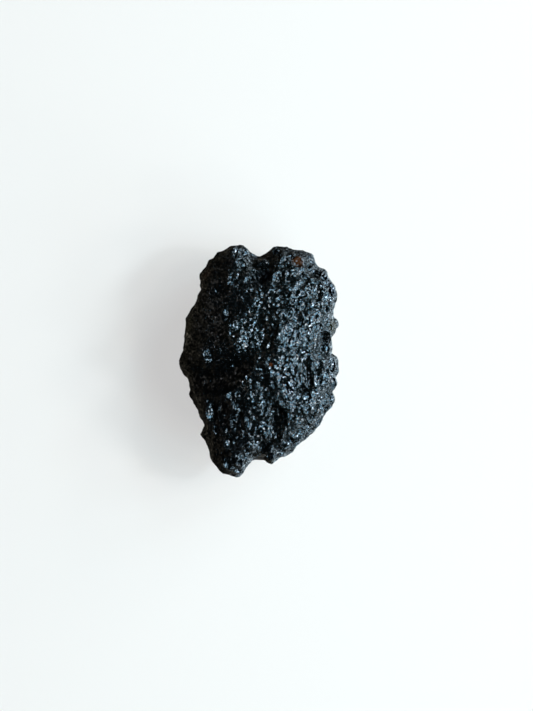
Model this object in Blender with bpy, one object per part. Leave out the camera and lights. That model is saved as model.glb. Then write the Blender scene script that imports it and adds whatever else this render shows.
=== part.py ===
"""A tektite: one lump of black impact glass, gouged and pitted all over, lying on its broad side.

Run it with blender --background --python part.py, or from Blender's text editor.
Metres, +Z up.  The stone's length runs along Y, its broad face looks up, and it rests on z = 0.
"""

import bpy
import numpy as np
from mathutils import Matrix

MM = 0.001

# Driving dimensions of the stone.
LENGTH = 45.0 * MM
WIDTH = 31.2 * MM
HEIGHT = 21.0 * MM
GIRDLE_HEIGHT = 9.8 * MM  # level of the widest section above the lowest point
WORN_DEPTH = 0.55 * MM  # how much the lowest bumps are worn flat, where the stone rests

# Side profile of the body: 1 is an ellipsoid's, and less is boxier.
TOP_PROFILE = 0.92
TOP_PROFILE_SWING = 0.10  # rounder by this to one side, boxier by it to the other
TOP_PROFILE_TURN = -0.2  # the way to the rounder side, in radians from +X
UNDERSIDE_PROFILE = 0.80
LEAN = 0.04  # how far the top shifts to +X, as a share of the height above the girdle

# The girdle's rise and fall round the stone: waves in a turn, height, start in radians.
GIRDLE_WAVES = [(1, 2.0 * MM, 1.7), (2, 0.6 * MM, 1.2), (3, 0.6 * MM, 1.6)]

# The outline's small bumps reach this far up and down, as a share of the half height, and above
# and below that the outline is averaged over some degrees to each side.
BUMP_REACH = 0.42
OUTLINE_AVERAGE = range(-16, 17, 4)

# The widest section seen from above, anticlockwise from +X, in millimetres.
OUTLINE = [
    (15.0, 0.4), (13.9, 1.7), (14.2, 3.1), (13.9, 4.3), (15.5, 7.0), (14.3, 8.6), (14.3, 10.1),
    (15.0, 12.3), (14.4, 14.7), (12.3, 17.5), (11.3, 18.1), (9.6, 20.8), (4.2, 21.9), (2.9, 21.7),
    (0.9, 20.2), (-0.1, 19.9), (-1.8, 20.7), (-3.4, 22.3), (-4.4, 22.3), (-8.1, 20.8), (-9.6, 19.4),
    (-11.5, 16.7), (-11.3, 13.8), (-11.9, 12.2), (-14.3, 8.0), (-14.6, 4.8), (-14.5, 2.0), (-15.2, 1.0),
    (-15.4, -1.5), (-13.9, -3.7), (-13.5, -7.0), (-11.9, -9.2), (-10.9, -12.0), (-10.8, -13.2),
    (-11.3, -14.4), (-10.4, -15.9), (-8.8, -20.0), (-8.0, -21.1), (-6.9, -22.1), (-4.4, -22.5),
    (-3.6, -22.1), (-3.2, -21.1), (-1.5, -19.4), (-0.5, -19.0), (0.6, -19.1), (2.2, -20.0), (3.8, -19.0),
    (5.1, -18.6), (10.8, -13.2), (13.1, -9.9), (14.0, -9.2), (14.5, -8.1), (14.6, -7.0), (14.3, -6.1),
    (14.9, -5.5), (15.2, -4.6), (14.8, -3.3), (15.5, -1.0),
]  # fmt: skip

# Rounded lumps (+) and hollows (-) of the broad face, in millimetres:
# name, centre x and y, half length, half width, turn of the length from +X in degrees, rise.
MOUNDS = [
    ("left horn", -5.0, 20.4, 3.0, 2.6, 0, 1.5),
    ("saddle channel", -0.1, 19.4, 4.6, 3.3, 98, -2.6),
    ("right shoulder", 5.6, 18.4, 5.2, 3.2, -20, 0.9),
    ("upper left knob", -5.2, 15.8, 2.4, 1.8, 80, 0.4),
    ("left shoulder", -10.4, 13.4, 4.5, 2.6, 70, 0.6),
    ("facet valley", 1.2, 3.0, 2.4, 1.8, 50, -0.6),
    ("cheek", -11.0, 2.2, 3.0, 2.3, 75, 1.2),
    ("great hollow", -8.2, -3.0, 6.6, 3.9, 14, -3.0),
    ("hollow's far end", -3.4, -0.6, 3.6, 2.6, 40, -1.2),
    ("rim bulge", -14.4, -0.4, 2.4, 1.7, 90, 0.9),
    ("dark pocket", 4.0, -10.4, 2.4, 1.5, 80, -0.8),
    ("low pocket", 1.1, -16.8, 2.1, 1.6, 0, -1.0),
    ("toe", -5.7, -19.8, 2.8, 2.4, 20, 1.2),
    ("toe knob", -6.4, -15.9, 1.9, 1.5, 0, 0.7),
    ("heel knob", -1.6, -16.6, 2.0, 1.5, 0, 0.7),
    ("right toe", 2.2, -18.9, 1.6, 1.3, 30, 0.7),
    ("brown pit", 8.3, -5.9, 1.5, 1.1, 30, -1.1),
    ("crescent pit", 11.2, -1.2, 1.6, 1.0, 60, -0.7),
    ("upper dark pit", 11.4, 12.4, 2.0, 1.1, 85, -0.9),
    ("shoulder dell", 10.6, 17.0, 1.9, 1.3, -35, -0.9),
    ("small shoulder dell", 8.9, 15.6, 1.1, 0.9, 0, -0.7),
    ("soil pit", 7.5, 18.8, 1.3, 1.1, 0, -0.7),
    ("rim dell", 12.0, 2.8, 3.4, 2.2, 82, -1.0),
    ("slit dell", 9.4, -2.6, 3.0, 1.3, -72, -0.6),
    ("dome swell", 4.6, 4.8, 5.6, 4.4, 85, 0.5),
    ("lower dome swell", 11.0, -8.6, 5.0, 3.6, 60, 0.7),
    ("small round pit", 2.2, -0.8, 0.9, 0.8, 0, -0.6),
]

# Creases of the broad face, in millimetres: sharp ridges (+) and furrows (-) along a straight line.
# name, start x and y, end x and y, width on the left and on the right of that way, rise.
CREASES = [
    ("left fold", -7.3, 19.0, -7.8, 8.6, 2.4, 1.2, -0.3),
    ("facet ridge", -6.2, 7.6, -3.8, 1.4, 2.6, 1.4, 1.3),
    ("upper dome edge", 3.0, 9.6, 4.4, 7.6, 2.4, 1.2, 0.4),
    ("dome edge", 4.2, 8.0, 1.2, 1.6, 4.0, 1.2, 0.9),
    ("dome elbow", 1.2, 1.6, 2.5, -5.2, 4.5, 1.3, 0.6),
    ("lower dome edge", 3.0, -5.2, 5.6, -9.8, 4.0, 1.3, 0.6),
    ("bottom dome edge", 5.6, -8.6, 5.8, -16.4, 3.6, 1.3, 0.5),
    ("hollow's brow", -13.6, 0.0, -5.0, 3.4, 2.2, 1.4, 0.9),
    ("hollow's sill", -13.0, -7.4, -3.6, -6.8, 1.5, 1.4, 1.0),
    ("oval rib", -11.2, -7.0, -9.6, -14.4, 2.1, 1.6, 1.0),
    ("bottom notch", -0.5, -21.0, -1.6, -16.8, 1.7, 1.7, -1.0),
    ("long slit", 8.4, 0.8, 10.2, -5.6, 0.8, 0.9, -0.8),
    ("inner slit", 7.4, -1.9, 8.2, -5.2, 0.6, 0.7, -0.5),
    ("short slit", 7.2, 9.6, 7.6, 6.0, 0.9, 1.8, -0.6),
    ("pit wall", 3.3, 9.4, 2.0, 2.2, 0.9, 4.6, -0.7),
    ("first flute", -7.0, -7.6, -6.6, -14.4, 1.6, 1.6, -0.9),
    ("second flute", -4.0, -9.6, -3.9, -16.6, 1.4, 1.4, -0.5),
    ("third flute", -0.9, -10.0, -0.8, -14.0, 1.0, 1.0, -0.3),
    ("fourth flute", 2.9, -9.4, 3.4, -16.8, 2.2, 1.8, -0.8),
    ("right rim", 14.3, -5.5, 14.6, 0.5, 3.0, 1.5, 1.2),
    ("lower right rim", 7.4, -14.8, 12.9, -7.0, 3.0, 1.5, 0.6),
    ("upper right rim", 14.4, 9.0, 12.0, 16.5, 3.0, 1.5, 1.2),
    ("top rim", 9.8, 19.8, 3.0, 21.2, 3.0, 1.5, 1.1),
]

# Facets of the broad face: patches that lie in one plane, with soft edges.  Lengths in millimetres:
# centre x and y, half length, half width, turn of the length from +Y in degrees, fall towards +X in
# degrees.
FACETS = [
    # the horn, the crown and the two sides of the saddle
    (-4.0, 21.0, 1.8, 1.6, 0, 30),
    (-3.4, 18.4, 1.8, 1.2, 20, 14),
    (-5.0, 15.8, 1.5, 1.3, 0, 24),
    (0.5, 17.2, 2.8, 1.8, 5, -2),
    (3.5, 16.0, 1.9, 1.3, -20, 34),
    (4.9, 13.2, 2.2, 1.1, 0, 5),
    (4.8, 19.3, 1.5, 1.2, 0, 30),
    (7.6, 17.2, 1.5, 1.3, 0, 30),
    (8.8, 15.6, 1.1, 0.9, 0, 2),
    # the upper middle
    (-0.1, 11.6, 1.6, 1.1, 15, 26),
    (-0.1, 8.9, 1.0, 0.8, 0, 20),
    (-6.3, 9.0, 1.9, 1.1, 0, 24),
    # the deep pit, what lies beside it, and the cheek
    (1.4, 6.6, 3.2, 1.8, -5, -3),
    (-4.2, 6.6, 1.3, 1.0, 30, 22),
    (-2.0, 6.0, 1.1, 0.9, 20, 22),
    (-3.1, 4.1, 2.0, 1.1, 32, 28),
    (0.1, 1.1, 1.0, 0.9, 0, 22),
    (-9.9, 1.0, 1.9, 1.4, 10, 34),
    # the dome
    (5.0, 5.2, 2.8, 1.5, -15, 30),
    (3.9, 3.7, 1.3, 1.1, -40, 28),
    (5.9, 10.0, 1.8, 1.4, 0, 5),
    (4.0, -0.2, 1.0, 1.0, 0, 26),
    (6.9, 2.6, 1.5, 1.2, 0, 27),
    (9.2, 6.4, 1.8, 1.2, 0, 30),
    (7.8, 14.4, 1.3, 1.0, 0, 28),
    (8.3, 12.4, 1.3, 1.0, 0, 28),
    (10.4, 14.2, 1.8, 1.3, 0, 28),
    (12.9, 12.6, 2.4, 1.5, 10, 30),
    (12.3, 3.0, 2.6, 1.3, 0, 8),
    (13.6, -2.2, 2.4, 1.6, 0, 30),
    (12.2, -8.2, 2.8, 2.0, -20, 30),
    (2.4, -4.6, 1.2, 0.9, 20, 24),
    (4.8, -5.9, 1.2, 1.1, 0, 26),
    (4.4, -8.0, 0.9, 0.9, 0, 26),
    (2.6, -9.2, 1.8, 1.5, 0, -5),
    (8.0, -13.9, 3.0, 1.7, -40, 28),
    (5.4, -15.9, 1.8, 1.5, 0, 28),
    # the sill of the great hollow, and the lumps right of it
    (-5.9, -6.9, 1.5, 1.1, 20, 27),
    (-4.6, -8.6, 1.1, 0.9, 20, 20),
    (-1.5, -6.4, 1.1, 0.8, 40, 20),
    (0.3, -7.3, 1.1, 0.8, 40, 20),
    (1.8, -7.8, 0.9, 0.7, 40, 18),
    (-1.1, -4.6, 1.8, 1.3, 0, -8),
    # the ribs, and the flutes between them
    (-9.5, -9.9, 2.8, 1.7, 5, 36),
    (-8.3, -13.6, 1.1, 0.8, 0, 26),
    (-6.8, -11.0, 3.2, 0.9, 3, -8),
    (-5.4, -12.1, 1.0, 0.8, 0, 28),
    (-3.8, -13.2, 3.2, 0.8, 0, -8),
    (-2.3, -11.7, 1.5, 0.8, 5, 27),
    (-0.6, -12.0, 2.0, 0.6, 0, -5),
    (1.2, -13.1, 2.1, 1.1, 10, 28),
    (3.7, -12.5, 3.6, 1.4, 0, -8),
    (-0.6, -16.0, 1.2, 1.0, 0, 20),
    (1.6, -16.8, 1.6, 1.6, 0, -4),
    # the toe
    (-6.1, -15.8, 1.2, 1.0, 0, 28),
    (-6.3, -20.0, 1.5, 1.2, 0, 27),
    (-4.6, -20.9, 1.0, 0.8, 0, 27),
    (-2.6, -18.4, 1.5, 1.1, 0, 26),
    (-4.2, -18.3, 0.9, 0.8, 0, 24),
]
FACET_EDGE = 0.6  # the share of a facet's reach over which it blends in
FACET_STRENGTH = 0.85  # how nearly flat a facet is

# Cups etched in the glass: how many, smallest and largest radius, depth as a share of the radius.
BROAD_CUPS = (46, 2.2 * MM, 4.0 * MM, 0.30)  # on the sides and the underside only
MIDDLE_CUPS = (420, 1.4 * MM, 2.8 * MM, 0.30)
SMALL_CUPS = (1500, 0.75 * MM, 1.5 * MM, 0.30)
CUP_ROOM = 0.8  # least distance between two cups' middles, as a share of the later one's radius
SEED = 11

# The girdle keeps its outline: the smaller cups lose this share of their depth there.
GIRDLE_CUP_LOSS = 0.7
GIRDLE_BAND = 0.25  # the band's reach up and down, as a share of the half height

# On the broad face the cups are shallower by these shares, so that its own lumps and facets show.
MIDDLE_CUP_LOSS = 0.9
SMALL_CUP_LOSS = 0.5

START_SUBDIVISIONS = 7  # 81,920 triangles to sculpt
TRIANGLES = 9600  # of the finished solid

GLASS_COLOUR = (0.004, 0.0045, 0.0045, 1.0)
GLASS_ROUGHNESS = 0.22
GLASS_IOR = 1.5


def smooth_step(value, low, high):
    """0 below low, 1 above high, and an S-shaped rise between."""
    share = np.clip((value - low) / (high - low), 0.0, 1.0)
    return share * share * (3.0 - 2.0 * share)


def outline_radius(angle):
    """Distance from the middle to the outline at each plan angle, in metres."""
    corners = np.array(OUTLINE) * MM
    angles = np.arctan2(corners[:, 1], corners[:, 0])
    return np.interp(angle, angles, np.hypot(corners[:, 0], corners[:, 1]), period=2 * np.pi)


def body_points(directions):
    """The stone's body: the outline drawn in towards the top and towards the flatter underside."""
    x, y, z = directions.T
    angle = np.arctan2(y, x)
    level = np.hypot(x, y)

    near_outline = np.exp(-((z / BUMP_REACH) ** 2))
    exact = outline_radius(angle)
    soft = np.mean([outline_radius(angle + turn) for turn in np.radians(OUTLINE_AVERAGE)], axis=0)
    radius = soft + (exact - soft) * near_outline

    above = z > 0
    swing = TOP_PROFILE_SWING * np.cos(angle - TOP_PROFILE_TURN)
    profile = np.where(above, TOP_PROFILE + swing, UNDERSIDE_PROFILE)
    depth = np.where(above, HEIGHT - GIRDLE_HEIGHT, GIRDLE_HEIGHT)
    rise = np.sign(z) * np.abs(z) ** profile * depth
    plan = radius * level**profile

    girdle = sum(height * np.sin(waves * angle + start) for waves, height, start in GIRDLE_WAVES)
    shift = LEAN * np.maximum(rise, 0.0)
    return np.stack([plan * np.cos(angle) + shift, plan * np.sin(angle), rise + girdle * level**2], axis=1)


def mound_height(x, y, centre_x, centre_y, length, width, turn, rise):
    """A rounded lump or hollow with a soft foot."""
    c, s = np.cos(np.radians(turn)), np.sin(np.radians(turn))
    along = (x - centre_x) * c + (y - centre_y) * s
    across = (y - centre_y) * c - (x - centre_x) * s
    inside = np.clip(1.0 - (along / length) ** 2 - (across / width) ** 2, 0.0, 1.0)
    return rise * inside**1.3


def crease_height(x, y, start_x, start_y, end_x, end_y, left, right, rise):
    """A ridge or furrow with straight flanks, which runs out at its two ends."""
    reach = np.hypot(end_x - start_x, end_y - start_y)
    way_x, way_y = (end_x - start_x) / reach, (end_y - start_y) / reach
    along = ((x - start_x) * way_x + (y - start_y) * way_y) / reach
    across = (y - start_y) * way_x - (x - start_x) * way_y
    flank = np.clip(1.0 - np.where(across > 0, across / left, -across / right), 0.0, 1.0)
    run_out = np.clip(1.0 - (2.0 * along - 1.0) ** 4, 0.0, 1.0)
    return rise * flank * run_out


def press_facet(points, broad_face, centre_x, centre_y, length, width, turn, fall):
    """Presses one patch towards a plane that passes through its mean level and falls towards +X."""
    x, y = points[:, 0] / MM - centre_x, points[:, 1] / MM - centre_y
    c, s = np.cos(np.radians(turn)), np.sin(np.radians(turn))
    inside = 1.0 - ((y * c - x * s) / length) ** 2 - ((x * c + y * s) / width) ** 2
    weight = smooth_step(inside, 0.0, FACET_EDGE) * broad_face
    plane = np.average(points[:, 2], weights=weight) - x * MM * np.tan(np.radians(fall))
    points[:, 2] += (plane - points[:, 2]) * weight * FACET_STRENGTH


def add_relief(points, broad_face):
    """Raises the lumps and ridges of the broad face, and sinks its hollows and furrows."""
    x, y = points[:, 0] / MM, points[:, 1] / MM
    height = sum(mound_height(x, y, *mound[1:]) for mound in MOUNDS)
    height = height + sum(crease_height(x, y, *crease[1:]) for crease in CREASES)
    points[:, 2] += height * MM * broad_face
    for facet in FACETS:
        press_facet(points, broad_face, *facet)


def scatter_cups(points, cups, random):
    """Places the cups on the surface, evenly enough to touch, each with a radius of its own."""
    count, smallest, largest, _ = cups
    order = random.permutation(len(points))
    radii = smallest + (largest - smallest) * random.random(count) ** 2
    places = []
    for index in order:
        if len(places) == count:
            break
        place = points[index]
        room = CUP_ROOM * radii[len(places)]
        if not places or np.min(np.sum((np.array(places) - place) ** 2, axis=1)) > room**2:
            places.append(place)
    return np.array(places), radii[: len(places)]


def cup_depths(points, places, radii, share):
    """How far each point sinks, in the deepest cup that holds it: round floors and sharp rims."""
    sunk = np.zeros(len(points))
    for place, radius in zip(places, radii):
        reach = np.sum((points - place) ** 2, axis=1) / radius**2
        sunk = np.maximum(sunk, share * radius * (1.0 - reach))
    return sunk


def read_points(mesh, what="co"):
    values = np.empty(len(mesh.vertices) * 3)
    mesh.vertices.foreach_get(what, values)
    return values.reshape(-1, 3)


def write_points(mesh, points):
    mesh.vertices.foreach_set("co", points.ravel())
    mesh.update()


def press_cups(mesh, cups, strength, random):
    """Presses a scatter of cups into the mesh, along its normals, and lifts the rims between them."""
    points = read_points(mesh)
    places, radii = scatter_cups(points, cups, random)
    sunk = cup_depths(points, places, radii, cups[3])
    lift = (sunk.mean() - sunk) * strength
    write_points(mesh, points + read_points(mesh, "normal") * lift[:, None])


def sculpt(mesh):
    """Turns the unit ball into the stone: body, relief of the broad face, then cups all round."""
    directions = read_points(mesh)
    upward = directions[:, 2]
    broad_face = smooth_step(upward, 0.02, 0.36)
    small_cup_depth = 1.0 - GIRDLE_CUP_LOSS * np.exp(-((upward / GIRDLE_BAND) ** 2))

    points = body_points(directions)
    add_relief(points, broad_face)
    write_points(mesh, points)

    random = np.random.default_rng(SEED)
    press_cups(mesh, BROAD_CUPS, 1.0 - broad_face, random)
    press_cups(mesh, MIDDLE_CUPS, small_cup_depth * (1.0 - MIDDLE_CUP_LOSS * broad_face), random)
    press_cups(mesh, SMALL_CUPS, small_cup_depth * (1.0 - SMALL_CUP_LOSS * broad_face), random)


def thin_out(stone):
    """Brings the stone down to its finished number of triangles."""
    thin = stone.modifiers.new("Thin out", "DECIMATE")
    thin.ratio = TRIANGLES / len(stone.data.polygons)
    evaluated = stone.evaluated_get(bpy.context.evaluated_depsgraph_get())
    finished = bpy.data.meshes.new_from_object(evaluated)
    stone.modifiers.clear()
    stone.data = finished


def wear_flat(mesh):
    """Presses the lowest bumps flat on one level, which gives the stone its resting face."""
    points = read_points(mesh)
    points[:, 2] = np.maximum(points[:, 2], points[:, 2].min() + WORN_DEPTH)
    write_points(mesh, points)


def fit_to_size(mesh):
    """Gives the stone its exact length, width and height, centred over the origin on z = 0."""
    points = read_points(mesh)
    low, high = points.min(axis=0), points.max(axis=0)
    size = high - low
    middle = (low + high) / 2
    move = Matrix.Translation((-middle[0], -middle[1], -low[2]))
    scale = Matrix.Diagonal((WIDTH / size[0], LENGTH / size[1], HEIGHT / size[2], 1.0))
    mesh.transform(scale @ move)


def glass_material():
    """Near-black glass with a worn gloss."""
    material = bpy.data.materials.new("Tektite glass")
    material.use_nodes = True
    shader = material.node_tree.nodes["Principled BSDF"]
    shader.inputs["Base Color"].default_value = GLASS_COLOUR
    shader.inputs["Roughness"].default_value = GLASS_ROUGHNESS
    shader.inputs["Metallic"].default_value = 0.0
    shader.inputs["IOR"].default_value = GLASS_IOR
    return material


def build_tektite(collection):
    bpy.ops.mesh.primitive_ico_sphere_add(subdivisions=START_SUBDIVISIONS, radius=1.0)
    stone = bpy.context.object
    stone.name = "tektite"
    for old in list(stone.users_collection):
        old.objects.unlink(stone)
    collection.objects.link(stone)

    sculpt(stone.data)
    thin_out(stone)
    wear_flat(stone.data)
    fit_to_size(stone.data)
    stone.data.materials.append(glass_material())
    stone.data.shade_smooth()


def main():
    for old in list(bpy.data.objects):
        bpy.data.objects.remove(old)
    collection = bpy.data.collections.new("Tektite")
    bpy.context.scene.collection.children.link(collection)
    build_tektite(collection)


main()
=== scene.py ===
# A tektite: black impact glass, etched all over in cups and pits, on a pale studio floor.
import math

import bpy
import numpy as np
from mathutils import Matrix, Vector


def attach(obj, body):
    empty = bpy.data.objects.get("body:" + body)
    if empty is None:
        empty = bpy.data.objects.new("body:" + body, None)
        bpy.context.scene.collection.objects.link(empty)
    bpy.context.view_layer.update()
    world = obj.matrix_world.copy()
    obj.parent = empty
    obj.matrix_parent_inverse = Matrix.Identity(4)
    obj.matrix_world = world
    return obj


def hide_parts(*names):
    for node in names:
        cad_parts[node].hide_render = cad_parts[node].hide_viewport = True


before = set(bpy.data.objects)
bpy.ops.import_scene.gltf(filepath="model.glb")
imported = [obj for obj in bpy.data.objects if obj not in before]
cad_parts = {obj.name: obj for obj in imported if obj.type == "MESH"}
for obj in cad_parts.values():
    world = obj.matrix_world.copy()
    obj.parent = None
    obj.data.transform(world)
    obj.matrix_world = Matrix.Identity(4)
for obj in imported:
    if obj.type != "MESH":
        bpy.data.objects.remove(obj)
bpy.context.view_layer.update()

mm = 0.001


def linear(hexColour):
    # an sRGB hex value as linear red, green, blue and alpha
    parts = [int(hexColour[i:i + 2], 16) / 255 for i in (1, 3, 5)]
    return [p / 12.92 if p <= 0.04045 else ((p + 0.055) / 1.055) ** 2.4 for p in parts] + [1.0]


def addNode(tree, kind, values=None, links=None, **settings):
    node = tree.nodes.new(kind)
    for key, value in settings.items():
        setattr(node, key, value)
    for key, value in (values or {}).items():
        node.inputs[key].default_value = value
    for key, socket in (links or {}).items():
        tree.links.new(socket, node.inputs[key])
    return node


def onlySelect(piece):
    bpy.ops.object.select_all(action="DESELECT")
    piece.select_set(True)
    bpy.context.view_layer.objects.active = piece


def applyModifier(piece, kind, **settings):
    onlySelect(piece)
    modifier = piece.modifiers.new(kind.title(), kind)
    for key, value in settings.items():
        setattr(modifier, key, value)
    bpy.ops.object.modifier_apply(modifier=modifier.name)


def smoothStep(value, low, high):
    share = np.clip((value - low) / (high - low), 0.0, 1.0)
    return share * share * (3.0 - 2.0 * share)


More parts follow.
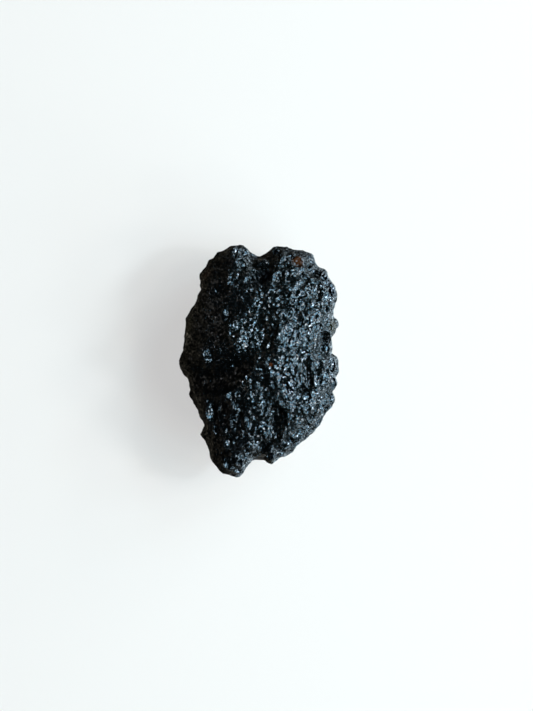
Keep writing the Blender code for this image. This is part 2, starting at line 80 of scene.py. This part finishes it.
# The stone's own surface, over the solid's lumps and hollows.
stone = {
    "name": "tektiteStone",
    "node": "tektite",
    "slot": "tektite_glass",
    "girdle": 8.6 * mm,  # the level where the stone is widest
    "roundingLevels": 2,
    "spacing": 0.14 * mm,  # between neighbouring points while it is being etched
    "smoothing": 0.5,
    "smoothSteps": 4,
    "triangles": 190000,

    # Layers of lumps and etching: name, size of one cup or lump, height, kind, and where it is.
    "lumps": [
        ("swells", 3.2 * mm, 0.25 * mm, "cloud", "everywhere"),
        ("cups", 1.9 * mm, 0.24 * mm, "cup", "rough"),
    ],
    "etching": [
        ("pits", 1.1 * mm, 0.15 * mm, "cup", "rough"),
        ("specks", 0.55 * mm, 0.12 * mm, "cup", "rough"),
    ],
    "etchMiddle": 0.4,  # the share of a layer's height that sinks in
    "etchClear": 0.8 * mm,  # above the floor, the etching comes up to its full depth over this height
    # Places where the glass flowed smooth: centre x and y, radius, and how much of the etching is left.
    "smooth": [
        (-0.4 * mm, 18.0 * mm, 3.4 * mm, 0.25),
        (-11.0 * mm, 9.0 * mm, 7.0 * mm, 0.8),
        (-3.9 * mm, -16.2 * mm, 1.4 * mm, 0.2),
    ],

    "facetEdge": 0.45,  # the share of a facet over which it blends in
    "facetFacing": 0.3,  # facets fade where the surface turns away from the top further than this
    "facetLevels": (6.5 * mm, 7.5 * mm),  # no facets below the first, all of them above the second
    "facetDepths": (2.4 * mm, 3.4 * mm),  # a facet lets go where it would move the surface this far
    # Facets of the broad face, each pressed into one plane.  Lengths in mm, angles in degrees:
    # centre x and y, half length, half width, turn of the length from +Y, fall towards +X,
    # and, for the rib, how far it stands out.
    "facets": [
        # the horn and the ridge down from it
        (-4.7, 21.0, 0.8, 0.6, 0, 27), (-2.9, 20.9, 1.1, 0.8, 15, 28), (-3.5, 18.9, 1.9, 0.7, 28, 13),
        # the upper left lumps
        (-5.6, 15.9, 1.1, 0.5, 10, 20), (-4.2, 16.0, 0.7, 0.5, 0, 22), (-2.5, 15.3, 0.7, 0.6, 0, 25),
        (-5.3, 14.7, 0.6, 1.1, 0, 17), (-3.6, 12.9, 0.6, 0.5, 0, 21), (-1.9, 13.3, 0.5, 0.9, 0, 17),
        (-1.2, 15.6, 0.6, 0.6, 0, 8), (-4.6, 13.6, 0.6, 0.5, 0, 6), (-1.1, 17.1, 0.6, 0.6, 0, 8),
        (0.5, 12.4, 0.7, 0.5, 0, 27), (-0.4, 11.4, 0.9, 0.8, 0, 25), (0.2, 10.6, 0.7, 0.6, 0, 24),
        # the saddle's floor
        (0.8, 17.4, 2.2, 1.6, 5, -4),
        # the right shoulder
        (3.4, 15.8, 1.3, 1.1, -15, 23), (4.6, 19.1, 0.9, 0.8, 0, 27), (7.5, 17.0, 1.0, 0.9, 0, 27),
        (6.4, 19.9, 0.7, 0.9, 0, 8), (9.7, 17.7, 0.8, 0.7, 0, 5), (7.4, 18.9, 1.2, 1.2, 0, 3),
        (7.8, 14.5, 1.1, 0.8, 0, 28), (8.2, 12.6, 0.6, 0.7, 0, 27), (8.2, 10.7, 1.4, 0.9, 0, 27),
        (10.4, 13.3, 1.5, 0.6, 5, 28), (11.1, 14.7, 0.5, 0.5, 0, 28), (13.0, 12.5, 1.0, 0.9, 0, 30),
        (12.8, 15.2, 1.4, 0.9, 30, 28), (6.3, 12.0, 1.3, 0.5, 5, 19), (5.2, 16.3, 0.7, 0.6, 0, 16),
        (2.7, 13.2, 0.7, 0.6, 0, 18), (10.7, 17.0, 0.5, 1.0, 0, 0), (8.8, 15.8, 0.6, 0.8, 0, 0),
        (6.4, 15.3, 0.6, 0.7, 0, 2), (5.4, 18.3, 0.7, 0.7, 0, 3), (4.4, 13.6, 1.4, 1.1, 0, -3),
        (9.2, 13.8, 0.9, 0.5, 0, 13), (4.9, 11.3, 0.8, 0.8, 0, 0), (11.35, 13.0, 1.3, 0.45, -5, 0),
        (10.1, 19.3, 1.1, 0.7, 35, 20), (12.3, 16.2, 1.0, 0.7, 20, 26), (14.0, 13.6, 1.6, 0.7, 0, 27),
        (6.9, 13.6, 1.0, 0.5, 0, 5), (3.2, 20.9, 0.7, 1.0, 0, 10), (2.0, 11.5, 0.7, 0.7, 0, 4),
        (3.7, 11.8, 0.7, 0.6, 0, 4), (11.6, 10.6, 0.8, 1.0, 0, 25),
        # the left side and the cheek
        (-6.3, 8.9, 1.5, 0.6, -5, 17), (-2.7, 8.0, 1.4, 2.3, 0, -2), (-4.4, 6.7, 0.7, 0.6, 0, 13),
        (-1.6, 6.0, 0.9, 0.7, 0, 24), (-2.8, 4.5, 1.8, 0.75, 31, 27), (-10.0, 1.0, 0.8, 0.6, 0, 27),
        (-9.4, 0.1, 0.6, 0.5, 0, 22), (-5.2, 5.4, 2.2, 0.7, 20, -5), (-0.9, 3.2, 1.7, 1.0, 15, 2),
        (-4.1, 2.2, 1.1, 0.9, 31, 3), (0.1, 5.3, 1.8, 0.9, 5, 3),
        # the deep pit and the dome's edge
        (2.3, 6.3, 2.6, 1.3, -5, -5), (3.5, 9.2, 0.6, 0.5, 40, 26), (4.2, 8.4, 0.7, 0.6, 40, 27),
        (1.3, 7.8, 0.4, 0.8, 0, 16), (4.1, 3.7, 1.1, 0.8, -20, 27), (5.4, 5.2, 2.8, 1.0, -14, 27),
        (1.9, 2.7, 0.9, 0.8, -40, 16), (0.1, 1.0, 0.7, 0.6, 0, 25), (1.7, 0.1, 0.6, 0.5, 0, 8),
        (4.1, -0.4, 0.9, 0.9, 0, 27),
        # the dome
        (7.5, 3.0, 0.9, 0.6, -30, 27), (8.9, 7.4, 1.1, 0.8, 0, 27), (9.8, 5.6, 0.6, 0.6, 0, 29),
        (6.6, 10.3, 0.6, 0.6, 0, 25), (13.2, 7.2, 0.9, 0.8, 0, 30), (11.5, 0.5, 0.5, 0.5, 0, 28),
        (6.5, 0.5, 0.9, 0.9, 0, 24), (13.8, -0.8, 1.6, 0.8, 0, 28), (13.0, -1.9, 1.2, 0.5, 0, 12),
        (13.6, 6.3, 0.8, 0.6, 0, 0), (7.9, 7.8, 1.6, 0.5, -8, -8), (7.4, 4.6, 0.6, 0.5, 0, 2),
        (7.8, 1.0, 1.7, 1.1, 5, 4), (7.4, 4.9, 1.2, 0.6, -8, 0), (12.2, 1.6, 0.6, 0.6, 0, 4),
        (12.8, 4.1, 1.6, 1.1, 14, -1), (12.6, 2.1, 1.2, 1.2, -12, 3), (11.8, 6.1, 0.9, 0.7, 0, 12),
        (12.9, 9.6, 0.9, 0.8, 0, 15), (7.0, 8.6, 1.0, 0.6, 0, 3), (11.5, -1.8, 0.8, 0.4, -20, 4),
        (5.6, 9.4, 1.0, 1.0, 0, 5),
        # the sill of the great hollow
        (-2.5, -3.3, 0.6, 0.5, 0, 18), (-3.1, -4.3, 0.5, 0.4, 0, 18), (-5.6, -6.8, 0.9, 0.9, 0, 26),
        (-5.2, -7.6, 0.5, 0.5, 0, 22), (-4.6, -8.6, 0.9, 0.9, 0, 13), (0.4, -8.7, 0.6, 0.5, 0, 3),
        (0.0, -5.4, 0.7, 0.7, 0, 3), (-1.4, -6.6, 0.8, 0.6, 10, 22), (0.4, -7.3, 0.6, 0.7, 0, 24),
        (-1.0, -8.8, 0.5, 0.5, 0, 20), (0.1, -9.5, 0.5, 0.9, -35, 18), (-0.9, -4.8, 1.2, 0.9, 20, -14),
        (-4.0, -6.5, 0.7, 0.6, 0, -8), (0.2, -2.4, 1.8, 0.7, 24, 4),
        # the ribs and the flutes between them
        (-5.3, -12.1, 0.9, 0.5, 0, 27), (-2.3, -11.7, 1.3, 0.6, 10, 25), (-1.4, -10.8, 0.5, 0.5, 0, 16),
        (-8.4, -13.2, 1.1, 0.5, 0, 24), (-6.9, -11.3, 3.3, 1.1, 0, -10),
        (-9.5, -9.9, 2.2, 1.0, 3, 27, 0.7), (-3.6, -13.0, 3.4, 0.7, 0, -10),
        (-1.2, -12.8, 1.4, 0.6, 0, -5), (3.75, -12.4, 3.5, 1.6, 0, -10), (1.3, -13.2, 1.6, 0.9, 12, 26),
        (2.6, -13.8, 0.5, 0.4, 0, 20),
        # the lower dome
        (2.6, -4.8, 0.9, 0.5, 15, 26), (3.6, -2.9, 0.5, 0.5, 0, 24), (4.8, -5.9, 1.1, 0.7, 20, 27),
        (4.3, -8.1, 0.7, 0.8, 0, 27), (1.8, -8.0, 0.4, 0.4, 0, 20), (6.7, -4.9, 1.0, 0.7, 0, 27),
        (5.8, -6.8, 1.0, 0.4, 0, 24), (5.7, -9.0, 0.8, 0.5, 0, 22), (10.4, -6.5, 0.8, 0.5, 10, 29),
        (12.6, -7.9, 1.0, 0.8, 0, 30), (8.8, -7.0, 0.8, 0.8, 0, 26), (6.2, -1.8, 0.9, 0.8, 0, 25),
        (2.4, -6.5, 1.7, 0.8, 36, -6), (9.2, -3.0, 2.3, 0.38, 5, -5), (7.7, -3.1, 1.0, 0.4, 15, -4),
        (7.8, -6.0, 0.7, 0.6, 0, -3), (11.0, -4.0, 1.3, 0.9, 0, 27), (8.9, -6.9, 1.2, 0.9, 0, 27),
        (6.0, -4.2, 1.0, 0.7, 0, 27), (6.9, -8.6, 0.9, 0.5, 0, 12), (4.2, -3.8, 0.7, 0.4, 0, 8),
        (8.9, -9.4, 1.1, 1.0, 0, 27), (9.8, -11.3, 1.0, 0.8, 0, 23), (2.6, -9.6, 1.2, 1.2, 0, -4),
        (1.2, -9.6, 1.3, 0.7, -10, 2), (10.8, -10.0, 0.5, 0.5, 0, 4), (5.4, -15.8, 1.2, 0.8, 0, 27),
        (4.0, -17.8, 0.9, 1.0, 0, 22), (7.6, -14.3, 1.6, 1.0, -30, 27),
        # the rim on that side
        (14.2, -4.5, 1.2, 0.8, 0, 27), (13.8, -7.6, 1.2, 0.8, 10, 27), (13.1, -9.7, 1.2, 0.7, -35, 28),
        (11.6, -12.0, 1.5, 0.7, -38, 19), (9.7, -14.2, 1.4, 0.7, -45, 26),
        (6.9, -16.3, 1.3, 0.6, -50, 24),
        # the toe
        (-6.2, -15.8, 1.1, 0.7, -45, 20), (-1.7, -14.4, 0.5, 0.4, 0, 22), (-1.6, -15.8, 0.7, 0.8, 0, 21),
        (-0.3, -15.5, 0.6, 0.5, 0, 24), (-0.2, -16.8, 0.5, 0.4, 0, 24), (2.3, -15.8, 0.5, 0.4, 0, 22),
        (-2.5, -17.8, 0.9, 0.5, 0, 24), (-2.7, -19.0, 0.6, 0.7, 0, 24), (-4.4, -19.3, 0.8, 0.7, 0, -12),
        (-4.2, -18.1, 0.4, 0.5, 0, 16), (-3.7, -20.0, 0.9, 0.7, 0, 2), (2.2, -18.6, 0.9, 0.9, 0, -6),
        (-6.4, -19.8, 1.2, 0.7, 0, 27), (-5.3, -20.6, 0.4, 0.5, 0, 25), (-4.4, -21.4, 0.5, 0.6, 0, 27),
        (1.5, -16.8, 1.1, 1.3, 0, -8), (-5.2, -19.4, 0.8, 0.7, 0, -5), (-3.6, -15.6, 1.4, 1.0, 0, -6),
        (3.6, -15.0, 1.2, 0.9, 0, -8),
    ],

    # Pulls that true the outline, as seen from above.  In mm: place, radius, and how far it moves.
    "pulls": [
        (-4.6, -21.9, 3.0, 0.1, -0.45), (-3.2, -21.3, 1.6, 0.25, -0.15), (2.3, -19.5, 1.6, 0.15, -0.5),
        (12.0, -12.3, 2.2, 0.35, -0.25), (8.0, -16.8, 2.0, -0.3, 0.5), (9.5, -15.0, 1.5, -0.1, 0.15),
        (4.2, -19.2, 1.0, 0.0, 0.3), (-11.2, -12.8, 1.8, 0.5, 0.1), (-10.7, -16.5, 3.0, 0.4, 0.1),
        (-8.5, -20.7, 2.0, 0.25, 0.25), (-12.0, 12.0, 2.2, -0.4, 0.15), (-14.6, 6.5, 2.0, 0.25, 0.0),
        (-14.0, 9.0, 1.5, 0.2, -0.15), (-10.7, 18.0, 1.6, 0.3, -0.15), (-9.0, 20.2, 1.5, 0.2, -0.2),
        (-7.2, 21.3, 1.2, 0.1, -0.3), (-4.0, 22.5, 1.2, 0.0, -0.25), (3.5, 22.0, 1.5, -0.05, 0.2),
        (6.5, 21.6, 1.5, 0.0, -0.25), (10.3, 20.3, 1.7, 0.3, 0.25), (12.7, 17.3, 1.7, 0.3, 0.15),
        (14.6, 8.3, 1.0, -0.25, 0.1), (15.2, 5.8, 0.9, -0.2, 0.15), (14.4, 1.3, 0.9, -0.3, -0.1),
        (15.5, -1.0, 1.2, -0.3, 0.0), (15.0, -5.0, 1.4, 0.35, 0.0), (14.4, -7.3, 1.4, 0.2, 0.0),
    ],
}


def copyStone():
    # a copy of the solid with its corners merged and rounded, and its points spread evenly
    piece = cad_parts[stone["node"]].copy()
    piece.data = piece.data.copy()
    piece.name = piece.data.name = stone["name"]
    piece.parent = None
    bpy.context.scene.collection.objects.link(piece)
    onlySelect(piece)
    bpy.ops.object.mode_set(mode="EDIT")
    bpy.ops.mesh.select_all(action="SELECT")
    bpy.ops.mesh.remove_doubles(threshold=0.001 * mm)
    bpy.ops.object.mode_set(mode="OBJECT")
    levels = stone["roundingLevels"]
    applyModifier(piece, "SUBSURF", levels=levels, render_levels=levels)
    applyModifier(piece, "REMESH", mode="VOXEL", voxel_size=stone["spacing"])
    applyModifier(piece, "SMOOTH", factor=stone["smoothing"], iterations=stone["smoothSteps"])
    print("stone copied,", len(piece.data.polygons), "faces")
    return piece


def readPoints(piece, what):
    # one row of x, y and z for each point
    numbers = np.empty(len(piece.data.vertices) * 3)
    piece.data.vertices.foreach_get(what, numbers)
    return numbers.reshape(-1, 3)


def writePoints(piece, points):
    piece.data.vertices.foreach_set("co", points.ravel())
    piece.data.update()


def pullRim(piece):
    # as a grab brush would
    points = readPoints(piece, "co")
    for x, y, radius, moveX, moveY in stone["pulls"]:
        away = np.hypot(points[:, 0] / mm - x, points[:, 1] / mm - y) / radius
        weight = np.clip(1.0 - away ** 2, 0.0, 1.0) ** 2
        points[:, 0] += moveX * mm * weight
        points[:, 1] += moveY * mm * weight
    writePoints(piece, points)
    print("rim pulled")


def pressFacets(piece):
    # as a flatten brush would: each patch goes to its own plane, and blends in at its edge
    points = readPoints(piece, "co")
    upward = smoothStep(readPoints(piece, "normal")[:, 2], 0.0, stone["facetFacing"])
    upward *= smoothStep(points[:, 2], *stone["facetLevels"])
    nearest, furthest = stone["facetDepths"]
    for x, y, length, width, turn, fall, *proud in stone["facets"]:
        away = points[:, :2] - np.array((x, y)) * mm
        c, s = math.cos(math.radians(turn)), math.sin(math.radians(turn))
        along = (away[:, 1] * c - away[:, 0] * s) / (length * mm)
        across = (away[:, 0] * c + away[:, 1] * s) / (width * mm)
        weight = smoothStep(1.0 - along ** 2 - across ** 2, 0.0, stone["facetEdge"]) * upward
        level = np.average(points[:, 2], weights=weight) + sum(proud) * mm
        drop = level - away[:, 0] * math.tan(math.radians(fall)) - points[:, 2]
        points[:, 2] += drop * weight * smoothStep(-abs(drop), -furthest, -nearest)
    writePoints(piece, points)
    print("facets pressed")


def paintMasks(piece):
    # how strongly the etching works at each point: none where the stone rests, less where it is smooth
    everywhere = piece.vertex_groups.new(name="everywhere")
    rough = piece.vertex_groups.new(name="rough")
    for point in piece.data.vertices:
        x, y, z = point.co
        clear = min(1.0, z / stone["etchClear"])
        left = 1.0
        for centreX, centreY, radius, share in stone["smooth"]:
            away = math.hypot(x - centreX, y - centreY) / radius
            if z > stone["girdle"] and away < 1.0:
                left = min(left, share + (1.0 - share) * away ** 2)
        everywhere.add([point.index], max(0.0, clear), "REPLACE")
        rough.add([point.index], max(0.0, clear * left), "REPLACE")


def etchTexture(name, size, kind):
    if kind == "cloud":
        texture = bpy.data.textures.new(name, "CLOUDS")
        texture.noise_depth = 2
    else:
        texture = bpy.data.textures.new(name, "VORONOI")
        texture.distance_metric = "DISTANCE_SQUARED"
    texture.noise_scale = size
    return texture


def etch(piece, layers):
    for name, size, height, kind, where in layers:
        applyModifier(piece, "DISPLACE", texture=etchTexture(name, size, kind), texture_coords="LOCAL",
                      direction="NORMAL", strength=height, mid_level=stone["etchMiddle"],
                      vertex_group=where)
        print("etched", name)


def settle(piece):
    # nothing hangs below the worn flat, and the mesh is thinned to a size that is easy to carry
    for point in piece.data.vertices:
        point.co.z = max(point.co.z, 0.0)
    triangles = sum(len(face.vertices) - 2 for face in piece.data.polygons)
    applyModifier(piece, "DECIMATE", ratio=stone["triangles"] / triangles)


# Natural silica glass, quenched in the air and etched by the soil.
glass = {
    "black": "#020303",
    "ior": 1.5,
    "roughness": (0.045, 0.12),  # on the glossiest and on the most worn patches
    "patchSize": 2.0 * mm,
    "fineSize": 0.42 * mm,  # the real ones are 0.1 to 0.3 mm, and are drawn coarser so that they show
    "fineTilt": 0.75,  # slope of the steepest little faces
    "stainFade": (0.7, 1.5),  # where a stain starts to fade and where it has gone, in its own radii
    "stainRags": 0.9,  # how ragged a stain's edge is, in its own radii
    "stainRagSize": 0.6 * mm,
    # Stains: centre x and y, radius, how much, colour, how rough it is where it isn't glossy as the
    # glass, and how much of the finest etching it fills.
    "stains": {
        "soilInPit": (7.4 * mm, 18.9 * mm, 1.5 * mm, 0.9, "#43220b", 0.0, 0.6),
        "soilSpeck": (2.2 * mm, -0.9 * mm, 0.5 * mm, 0.9, "#52250c", 0.0, 0.0),
        # an olive-brown tint over the left flank, a little lighter than the bare black glass
        "leftFlankOlive": (-13.7 * mm, 6.5 * mm, 3.0 * mm, 0.5, "#3a3628", 0.0, 0.0),
        "leftRim": (-10.4 * mm, 16.4 * mm, 2.2 * mm, 0.7, "#33241a", 0.0, 0.0),
        "rightKnob": (14.3 * mm, 6.5 * mm, 2.0 * mm, 0.85, "#2b220e", 0.3, 0.0),
        "rightToe": (2.4 * mm, -19.6 * mm, 1.2 * mm, 0.5, "#36301f", 0.0, 0.0),
    },
}


def surfacePoint(piece, x, y):
    # the stone's top surface over a place in plan
    hit, place, normal, index = piece.ray_cast(Vector((x, y, 1.0)), Vector((0, 0, -1)))
    return place if hit else Vector((x, y, stone["girdle"]))


def tektiteGlass(piece):
    # black at this thickness, glossy and worn in random patches, which gives small sharp glints on black
    material = bpy.data.materials.new("tektiteGlass")
    material.use_nodes = True
    tree = material.node_tree
    shader = tree.nodes["Principled BSDF"]
    place = addNode(tree, "ShaderNodeTexCoord").outputs["Object"]

    # gloss in patches, with finer specks in them
    patches = addNode(tree, "ShaderNodeTexNoise", {"Scale": 1 / glass["patchSize"], "Detail": 4.0},
                      {"Vector": place})
    glossy, worn = glass["roughness"]
    roughness = addNode(tree, "ShaderNodeMapRange",
                        {"From Min": 0.35, "From Max": 0.65, "To Min": glossy, "To Max": worn},
                        {"Value": patches.outputs["Fac"]}).outputs["Result"]

    # stains fade out from their middle, with a ragged edge
    colour = None
    filled = None
    fadeStart, fadeEnd = glass["stainFade"]
    ragged = addNode(tree, "ShaderNodeTexNoise", {"Scale": 1 / glass["stainRagSize"], "Detail": 3.0},
                     {"Vector": place})
    for x, y, radius, share, hexColour, matt, fill in glass["stains"].values():
        away = addNode(tree, "ShaderNodeVectorMath", {1: surfacePoint(piece, x, y)}, {0: place},
                       operation="DISTANCE")
        far = addNode(tree, "ShaderNodeMath", {1: radius}, {0: away.outputs["Value"]}, operation="DIVIDE")
        edge = addNode(tree, "ShaderNodeMath", {1: glass["stainRags"]},
                       {0: ragged.outputs["Fac"], 2: far.outputs[0]}, operation="MULTIPLY_ADD")
        fade = addNode(tree, "ShaderNodeMapRange",
                       {"From Min": fadeStart, "From Max": fadeEnd, "To Min": share, "To Max": 0.0},
                       {"Value": edge.outputs[0]}, interpolation_type="SMOOTHSTEP").outputs["Result"]
        under = {6: colour} if colour else {}
        colour = addNode(tree, "ShaderNodeMix", {6: linear(glass["black"]), 7: linear(hexColour)},
                         {0: fade, **under}, data_type="RGBA").outputs[2]
        if matt:
            roughness = addNode(tree, "ShaderNodeMix", {3: matt}, {0: fade, 2: roughness}).outputs[0]
        if fill:
            filled = addNode(tree, "ShaderNodeMath", {1: -fill, 2: 1.0}, {0: fade},
                             operation="MULTIPLY_ADD").outputs[0]

    # the finest etching, too small for the mesh: little faces, each tilted its own way
    fine = addNode(tree, "ShaderNodeTexVoronoi", {"Scale": 1 / glass["fineSize"]}, {"Vector": place})
    across = addNode(tree, "ShaderNodeVectorMath", None, {0: place, 1: fine.outputs["Position"]},
                     operation="SUBTRACT")
    tilt = addNode(tree, "ShaderNodeVectorMath", {1: (0.5, 0.5, 0.5)}, {0: fine.outputs["Color"]},
                   operation="SUBTRACT")
    rise = addNode(tree, "ShaderNodeVectorMath", None, {0: across.outputs[0], 1: tilt.outputs[0]},
                   operation="DOT_PRODUCT")
    strength = {"Strength": filled} if filled else {}
    bump = addNode(tree, "ShaderNodeBump", {"Distance": glass["fineTilt"]},
                   {"Height": rise.outputs["Value"], **strength})

    tree.links.new(colour, shader.inputs["Base Color"])
    tree.links.new(roughness, shader.inputs["Roughness"])
    tree.links.new(bump.outputs["Normal"], shader.inputs["Normal"])
    shader.inputs["IOR"].default_value = glass["ior"]
    return material


def makeStone():
    piece = copyStone()
    pullRim(piece)
    paintMasks(piece)
    etch(piece, stone["lumps"])
    pressFacets(piece)
    etch(piece, stone["etching"])
    settle(piece)
    onlySelect(piece)
    bpy.ops.object.shade_smooth()
    piece.data.materials.clear()
    piece.data.materials.append(tektiteGlass(piece))
    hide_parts(stone["node"])
    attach(piece, "root")
    print("stone made,", len(piece.data.polygons), "faces")


# A sheet of matt paper on a light table, so the ground stays nearly white round the stone.
sheet = {
    "size": 3.0,
    "colour": "#ad9d8f",
    "glow": 0.55,  # the light that comes through it
}


def paper():
    # matt all over, with no gloss, and evenly lit from below
    material = bpy.data.materials.new("paperOnLightTable")
    material.use_nodes = True
    shader = material.node_tree.nodes["Principled BSDF"]
    shader.inputs["Base Color"].default_value = linear(sheet["colour"])
    shader.inputs["Roughness"].default_value = 1.0
    shader.inputs["Specular IOR Level"].default_value = 0.0
    shader.inputs["Emission Color"].default_value = (1.0, 1.0, 1.0, 1.0)
    shader.inputs["Emission Strength"].default_value = sheet["glow"]
    return material


def makeFloor():
    bpy.ops.object.select_all(action="DESELECT")
    bpy.ops.mesh.primitive_plane_add(size=sheet["size"], location=(0, 0, 0))
    floor = bpy.context.object
    floor.name = "floor"
    floor.data.materials.append(paper())
    floor.visible_glossy = False  # the stone mirrors the room below the horizon in its place
    print("floor laid")


# The studio's lamps, all aimed at the stone.
lights = {
    # name, place, size, radiance, colour; the window comes first
    "lamps": [
        ("window", (0.60, 0.02, 0.36), (1.60, 0.75), 1.2, "#a9dcff"),
        ("lamp", (0.50, 0.02, 0.42), (0.08, 0.10), 80.0, "#cfe8ff"),
        ("leftWall", (-0.60, 0.10, 0.26), (0.50, 0.22), 0.5, "#f4f2ea"),
        ("leftLamp", (-0.45, 0.15, 0.50), (0.14, 0.14), 1.5, "#ffffff"),
    ],
    # the window's bright panes
    "paneSize": (0.11, 0.085),
    "paneStep": (0.27, 0.22),
    "paneCount": (6, 3),
    "paneGap": 0.02,  # in front of the window
    "paneRadiance": 25.0,
    "paneColours": ("#a6dcff", "#f2fbff", "#c4ecff"),
}


def makeLights():
    aimPoint = Vector((0, 0, stone["girdle"]))
    lamps = list(lights["lamps"])
    # the panes hang in front of the window, so the wet-looking cups catch them one by one
    window = Vector(lamps[0][1])
    towards = (aimPoint - window).normalized()
    across = towards.cross(Vector((0, 0, 1))).normalized()
    upwards = across.cross(towards)
    columns, rows = lights["paneCount"]
    stepAcross, stepUp = lights["paneStep"]
    colours = lights["paneColours"]
    for column in range(columns):
        for row in range(rows):
            side = (column - (columns - 1) / 2) * stepAcross
            rise = (row - (rows - 1) / 2) * stepUp
            place = window + towards * lights["paneGap"] + across * side + upwards * rise
            colour = colours[(column + 2 * row) % len(colours)]
            lamps.append((f"pane{column}{row}", place, lights["paneSize"], lights["paneRadiance"], colour))
    for name, place, (width, height), radiance, hexColour in lamps:
        light = bpy.data.lights.new(name, "AREA")
        light.shape = "RECTANGLE"
        light.size, light.size_y = width, height
        light.energy = radiance * width * height * math.pi
        light.color = linear(hexColour)[:3]
        lamp = bpy.data.objects.new(name, light)
        lamp.location = place
        lamp.rotation_euler = (aimPoint - lamp.location).to_track_quat("-Z", "Y").to_euler()
        lamp.visible_camera = False
        bpy.context.scene.collection.objects.link(lamp)
    print("lights hung,", len(lamps))


# The room round the stone, which its glossy faces mirror.
surroundings = {
    # colours from the dark side to the bright side, above the horizon and below it
    "room": ("#181716", "#94aec0"),
    "below": ("#292722", "#b0c4d0"),
    "brighten": (-0.1, 0.9),  # where the bright side starts and is full, along +X
    "horizon": (0.05, -0.15),  # where the room's lower part starts and is full, along +Z
    "clutter": (0.2, 11.0),  # how dark and how light the things below the horizon are
    "clutterScale": 6.0,  # how many things there are, roughly, from side to side
    "clutterEdge": (0.53, 0.60),  # the noise is dark below the first and light above the second
    "backdrop": "#f6f6f5",  # what shows behind the stone from the side
}


def makeRoom():
    world = bpy.data.worlds.new("studioRoom")
    bpy.context.scene.world = world
    world.use_nodes = True
    tree = world.node_tree
    place = addNode(tree, "ShaderNodeTexCoord").outputs["Generated"]
    way = addNode(tree, "ShaderNodeSeparateXYZ", links={"Vector": place})
    start, full = surroundings["brighten"]
    across = addNode(tree, "ShaderNodeMapRange", {"From Min": start, "From Max": full},
                     {"Value": way.outputs["X"]}, interpolation_type="SMOOTHSTEP").outputs["Result"]
    start, full = surroundings["horizon"]
    down = addNode(tree, "ShaderNodeMapRange", {"From Min": start, "From Max": full},
                   {"Value": way.outputs["Z"]}, interpolation_type="SMOOTHSTEP").outputs["Result"]
    room, below = [addNode(tree, "ShaderNodeMix", {6: linear(dark), 7: linear(bright)}, {0: across},
                           data_type="RGBA").outputs[2]
                   for dark, bright in (surroundings["room"], surroundings["below"])]
    # things in the lower part of the room, some lit and most dark
    things = addNode(tree, "ShaderNodeTexNoise", {"Scale": surroundings["clutterScale"], "Detail": 1.0},
                     {"Vector": place})
    start, full = surroundings["clutterEdge"]
    darkest, lightest = surroundings["clutter"]
    clutter = addNode(tree, "ShaderNodeMapRange",
                      {"From Min": start, "From Max": full, "To Min": darkest, "To Max": lightest},
                      {"Value": things.outputs["Fac"]}).outputs["Result"]
    below = addNode(tree, "ShaderNodeVectorMath", None, {0: below, "Scale": clutter},
                    operation="SCALE").outputs[0]
    room = addNode(tree, "ShaderNodeMix", None, {0: down, 6: room, 7: below}, data_type="RGBA").outputs[2]
    seen = addNode(tree, "ShaderNodeLightPath").outputs["Is Camera Ray"]
    shown = addNode(tree, "ShaderNodeMix", {7: linear(surroundings["backdrop"])}, {0: seen, 6: room},
                    data_type="RGBA").outputs[2]
    tree.links.new(shown, tree.nodes["Background"].inputs["Color"])
    print("room lit")


# The camera looks straight down on the stone.
view = {
    "height": 0.5,  # above the stone's widest level
    "frameHeight": 137.9 * mm,  # what the frame's long side shows at that level
    "aimX": 1.36 * mm,
    "aimY": 0.87 * mm,
}


def makeCamera():
    scene = bpy.context.scene
    data = bpy.data.cameras.new("camera")
    data.lens = data.sensor_width * view["height"] / view["frameHeight"]
    camera = bpy.data.objects.new("camera", data)
    camera.location = (view["aimX"], view["aimY"], stone["girdle"] + view["height"])
    scene.collection.objects.link(camera)
    scene.camera = camera
    scene.view_settings.view_transform = "Standard"
    print("camera set")


makeStone()
makeFloor()
makeLights()
makeRoom()
makeCamera()
